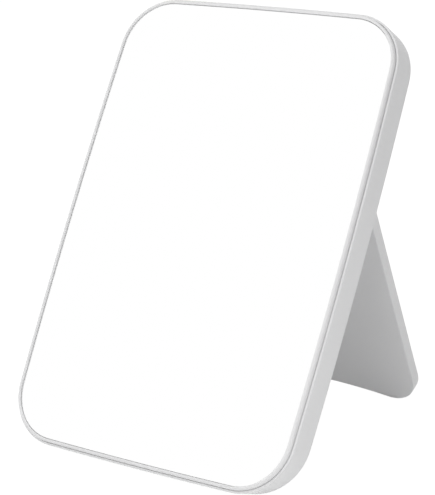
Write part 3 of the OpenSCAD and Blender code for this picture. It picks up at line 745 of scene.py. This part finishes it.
def make_stand():
    """The stand's plate: soft edges, hinge barrel, stop heel, and the room for its cover."""
    plate = plate_outline(
        "stand_plate",
        STAND_HALF_W,
        FOOT_Z,
        HINGE_Z,
        STAND_CORNER_R,
        STAND_TOP_R,
        FOOT_ARCH,
        STAND_FRONT_Y,
    )
    thicken(plate, STAND_T)
    round_rim(plate, STAND_FRONT_Y, STAND_FRONT_R, STAND_FRONT_STEPS)
    round_rim(plate, STAND_BACK_Y, STAND_EDGE_R, STAND_BACK_STEPS)
    cut(plate, inner_plate("cover_seat", COVER_EDGE - COVER_GAP, COVER_Y, STAND_BACK_Y + OVER))
    cut(plate, inner_plate("cavity", COVER_EDGE + LEDGE_W, CAVITY_Y, STAND_BACK_Y + OVER))
    fuse(plate, bar("barrel", -STAND_HALF_W, STAND_HALF_W, HINGE_Y, HINGE_Z, BARREL_R, 64))
    fuse(
        plate,
        brick(
            "heel",
            (-HEEL_HALF_W, HINGE_Y + HEEL_OFF, HINGE_Z),
            (HEEL_HALF_W, STAND_BACK_Y, HINGE_Z + HEEL_LEN),
        ),
    )
    for side in (1, -1):
        for x, z in COVER_SPOTS:
            fuse(plate, rod("boss", side * x, z, CAVITY_Y - WELD, COVER_Y, SMALL_BOSS_R))
            cut(
                plate,
                rod("pilot", side * x, z, CAVITY_Y, COVER_Y + OVER, SMALL_SCREW_R + THREAD_FIT),
            )
        pocket = (side * STAND_MAGNET_X, FOOT_Z + STAND_MAGNET_UP)
        wide = STAND_MAGNET_R + MAGNET_GAP
        fuse(plate, rod("magnet_tub", *pocket, CAVITY_Y - WELD, COVER_Y, wide + POCKET_WALL))
        cut(plate, rod("magnet_pocket", *pocket, CAVITY_Y, COVER_Y + OVER, wide))
        x0, x1 = sorted((side * STAND_RIB_X, side * (STAND_RIB_X + RIB_T)))
        fuse(
            plate,
            brick(
                "rib",
                (x0, CAVITY_Y - WELD, FOOT_Z + COVER_EDGE + LEDGE_W / 2),
                (x1, COVER_Y, COVER_TOP_Z - LEDGE_W / 2),
            ),
        )
        x0, x1 = sorted(
            (side * (STAND_HALF_W - PIN_IN_STAND - PIN_END), side * (STAND_HALF_W + OVER))
        )
        cut(plate, bar("pin_bore", x0, x1, HINGE_Y, HINGE_Z, PIN_R + PIN_RUN))
        x0, x1 = sorted((side * (PAD_X - PAD_LEN), side * PAD_X))
        cut(
            plate,
            brick(
                "pad_rebate",
                (x0, STAND_FRONT_Y - OVER, FOOT_Z - OVER),
                (x1, STAND_FRONT_Y + PAD_W, FOOT_Z + PAD_IN),
            ),
        )
    set_down(plate, OPENED, STAND_WHITE, "stand", "stand_panel")


def make_cover():
    """The stand's rear skin, with a small chamfer around it and four countersunk holes."""
    cover = inner_plate("stand_rear_cover", COVER_EDGE, COVER_Y, STAND_BACK_Y)
    round_rim(cover, STAND_BACK_Y, COVER_EDGE_R, 2)
    for side in (1, -1):
        for x, z in COVER_SPOTS:
            spot, past_y = (side * x, z), STAND_BACK_Y + OVER
            hole_r, seat_r = SMALL_SCREW_R + SMALL_SCREW_GAP, SMALL_HEAD_R + SMALL_SCREW_GAP
            seat_y = STAND_BACK_Y - SMALL_HEAD_H - SMALL_SUNK
            cut(cover, rod("hole", *spot, COVER_Y - OVER, past_y, hole_r))
            cut(cover, rod("seat", *spot, seat_y, past_y, seat_r))
    set_down(cover, OPENED, STAND_WHITE, "stand", "stand_cover")


make_bezel()
make_glass()
make_shell()
make_stand()
make_cover()


# The studio, in metres
CAMERA_PLACE = (0.388684, -0.534128, 0.277338)
CAMERA_AHEAD = (-0.5347124, 0.8019081, -0.2665071)
CAMERA_ROLL, CAMERA_LENS, SENSOR_H = math.radians(-0.316), 83.383, 24
CLIP_NEAR, CLIP_FAR = 0.01, 50
FLOOR_SIZE, FLOOR_LIT, FLOOR_SHADE, FLOOR_GLOW, SKY_LIGHT = 10, 0.95, 0.22, 0.94, 0.43


def camera_sees(nodes, links):
    """1 for what the camera, a mirror or clear glass sees, 0 for the light on the object."""
    path = nodes.new("ShaderNodeLightPath")
    either = nodes.new("ShaderNodeMath")
    either.operation = "MAXIMUM"
    links.new(path.outputs["Is Camera Ray"], either.inputs[0])
    links.new(path.outputs["Is Glossy Ray"], either.inputs[1])
    all_three = nodes.new("ShaderNodeMath")
    all_three.operation = "MAXIMUM"
    links.new(either.outputs[0], all_three.inputs[0])
    links.new(path.outputs["Is Transmission Ray"], all_three.inputs[1])
    return all_three.outputs[0]


def make_floor():
    """A white table top that keeps a faint shadow."""
    bpy.ops.object.select_all(action="DESELECT")
    bpy.ops.mesh.primitive_plane_add(size=FLOOR_SIZE, location=(0, 0, 0))
    floor = bpy.context.active_object
    floor.name = "studio_floor"
    paint = bpy.data.materials.new("floor_white")
    paint.use_nodes = True
    nodes, links = paint.node_tree.nodes, paint.node_tree.links
    nodes.clear()
    out = nodes.new("ShaderNodeOutputMaterial")
    mix = nodes.new("ShaderNodeMixShader")
    lit = nodes.new("ShaderNodeBsdfDiffuse")
    lit.inputs["Color"].default_value = (FLOOR_LIT, FLOOR_LIT, FLOOR_LIT, 1)
    seen = nodes.new("ShaderNodeAddShader")
    shade = nodes.new("ShaderNodeBsdfDiffuse")
    shade.inputs["Color"].default_value = (FLOOR_SHADE, FLOOR_SHADE, FLOOR_SHADE, 1)
    glow = nodes.new("ShaderNodeEmission")
    glow.inputs["Strength"].default_value = FLOOR_GLOW
    links.new(shade.outputs[0], seen.inputs[0])
    links.new(glow.outputs[0], seen.inputs[1])
    links.new(camera_sees(nodes, links), mix.inputs[0])
    links.new(lit.outputs[0], mix.inputs[1])
    links.new(seen.outputs[0], mix.inputs[2])
    links.new(mix.outputs[0], out.inputs[0])
    floor.data.materials.append(paint)


def make_sky():
    """An even white surround, white to the camera and dimmer as light."""
    world = bpy.data.worlds.new("white_surround")
    bpy.context.scene.world = world
    world.use_nodes = True
    nodes, links = world.node_tree.nodes, world.node_tree.links
    back = nodes["Background"]
    back.inputs["Color"].default_value = (1, 1, 1, 1)
    seen = camera_sees(nodes, links)
    level = nodes.new("ShaderNodeMapRange")
    level.inputs["To Min"].default_value = SKY_LIGHT
    level.inputs["To Max"].default_value = 1.0
    links.new(seen, level.inputs["Value"])
    links.new(level.outputs["Result"], back.inputs["Strength"])


def make_lamp(name, place, aim, size, power):
    """A square softbox at its place, turned to its aim."""
    bpy.ops.object.light_add(type="AREA", location=place)
    lamp = bpy.context.active_object
    lamp.name = name
    lamp.data.shape = "SQUARE"
    lamp.data.size = size
    lamp.data.energy = power
    lamp.rotation_euler = (Vector(aim) - Vector(place)).to_track_quat("-Z", "Y").to_euler()


def make_camera():
    """The photograph's viewing angle."""
    roll = Quaternion((0, 0, 1), CAMERA_ROLL)
    bpy.ops.object.camera_add(location=CAMERA_PLACE)
    camera = bpy.context.active_object
    camera.name = "photo_camera"
    camera.rotation_euler = (Vector(CAMERA_AHEAD).to_track_quat("-Z", "Y") @ roll).to_euler()
    camera.data.sensor_fit = "VERTICAL"
    camera.data.sensor_height = SENSOR_H
    camera.data.lens = CAMERA_LENS
    camera.data.clip_start, camera.data.clip_end = CLIP_NEAR, CLIP_FAR
    bpy.context.scene.camera = camera


make_floor()
make_sky()
make_lamp("overhead_softbox", (-0.25, -0.3, 1.7), (0, 0.03, 0.05), size=1.5, power=10)
make_lamp(
    "low_right_softbox", (0.23, -0.04, 0.025), (0.07, -0.02, 0.02), size=0.1, power=0.045
)
make_lamp("front_softbox", (0.1, -1.7, 0.45), (0, 0.03, 0.09), size=1.2, power=6.5)
make_camera()
bpy.context.scene.view_settings.view_transform = "Standard"
